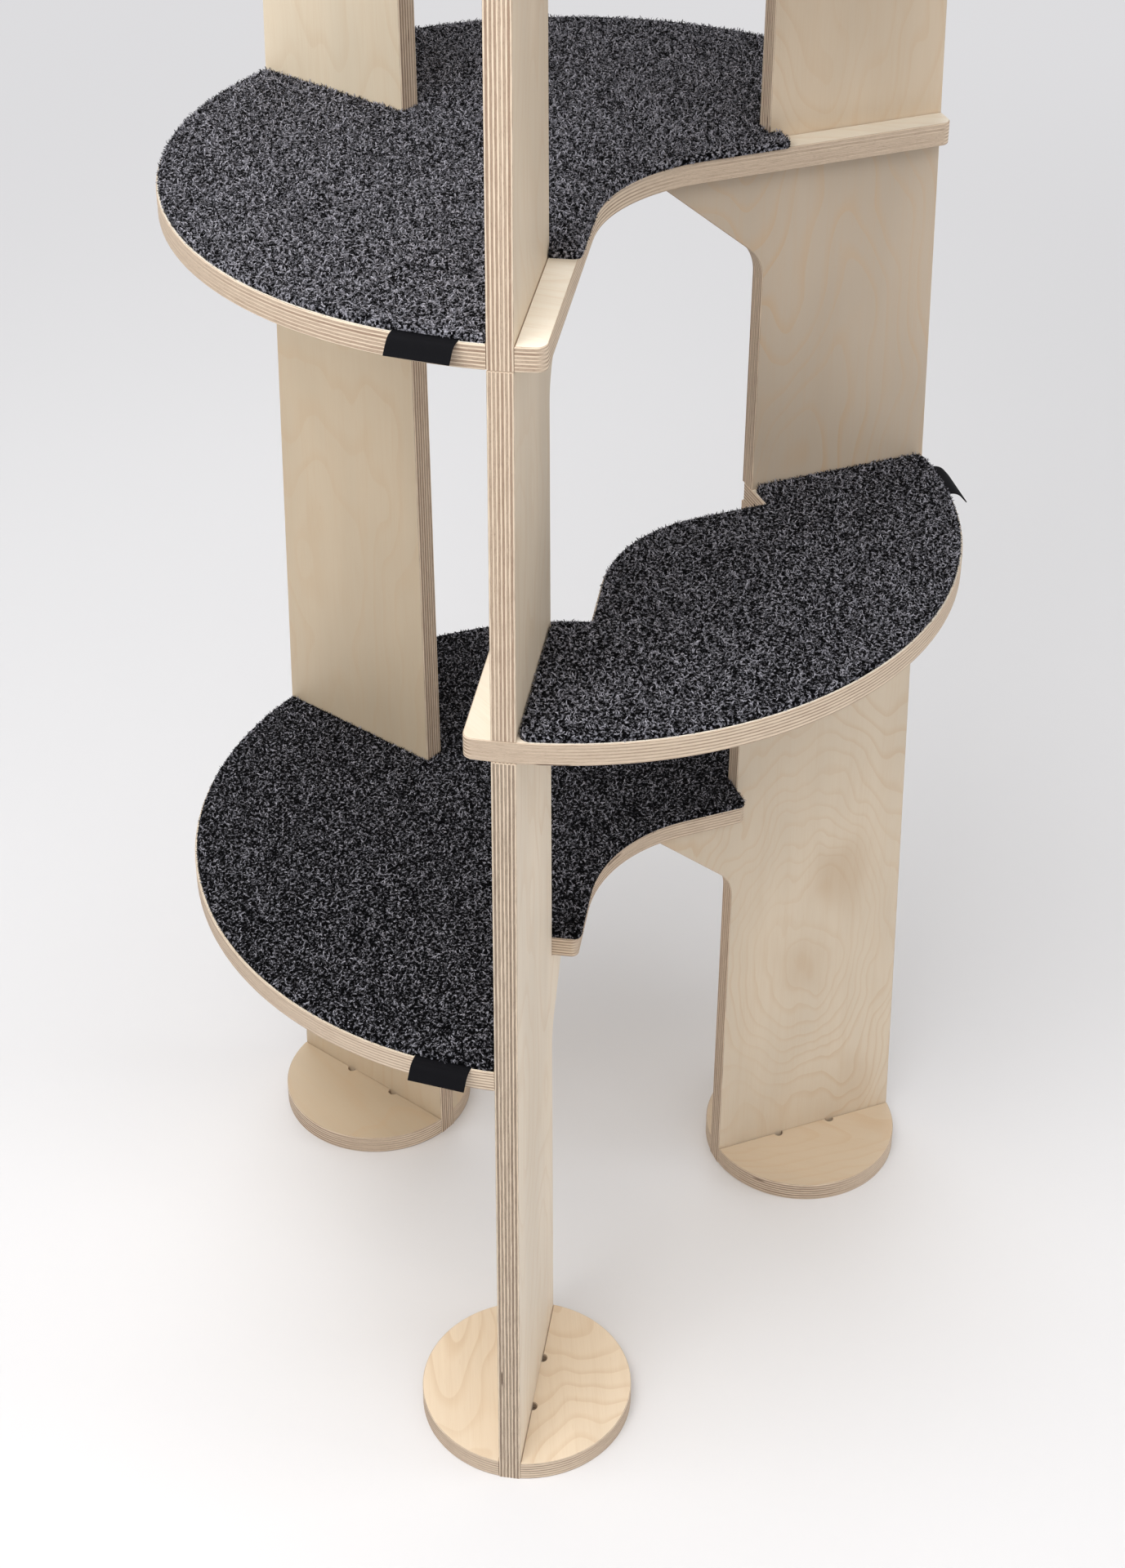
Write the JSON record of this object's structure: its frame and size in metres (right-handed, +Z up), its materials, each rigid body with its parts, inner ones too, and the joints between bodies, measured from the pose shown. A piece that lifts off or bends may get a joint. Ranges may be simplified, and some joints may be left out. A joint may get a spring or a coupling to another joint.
{
  "type": "cat tree",
  "caption": "Free-standing plywood cat tree: tapered radial uprights on round feet carry carpeted round decks and steps for climbing and resting.",
  "frame": {"origin": "middle of the footprint, on the floor", "axes": "+Z up; -Y is the front, the open sector with the steps; +X is to the right seen from the front"},
  "size_m": [0.6346, 0.6377, 1.647],
  "materials": {
    "birch_ply": "clear matt lacquer",
    "carpet": "short heathered pile",
    "tab_cloth": "woven tape",
    "beech_dowel": "plain",
    "screw_steel": "zinc plated"
  },
  "bodies": {
    "root": {"butt_dowels": "beech_dowel", "deck_1": "birch_ply", "deck_2": "birch_ply", "deck_3": "birch_ply", "deck_4": "birch_ply", "deck_5": "birch_ply", "deck_screws": "screw_steel", "foot_left": "birch_ply", "foot_rear": "birch_ply", "foot_right": "birch_ply", "foot_screws": "screw_steel", "mat_1": "carpet", "mat_2": "carpet", "mat_3": "carpet", "mat_4": "carpet", "mat_5": "carpet", "step_dowels": "beech_dowel", "tab_1": "tab_cloth", "tab_2": "tab_cloth", "tab_3": "tab_cloth", "tab_4": "tab_cloth", "tab_5": "tab_cloth", "top_dowels": "beech_dowel", "upright_left_1": "birch_ply", "upright_left_2": "birch_ply", "upright_left_3": "birch_ply", "upright_left_4": "birch_ply", "upright_rear_1": "birch_ply", "upright_rear_2": "birch_ply", "upright_right_1": "birch_ply", "upright_right_2": "birch_ply", "upright_right_3": "birch_ply", "upright_right_4": "birch_ply"}
  },
  "joints": []
}
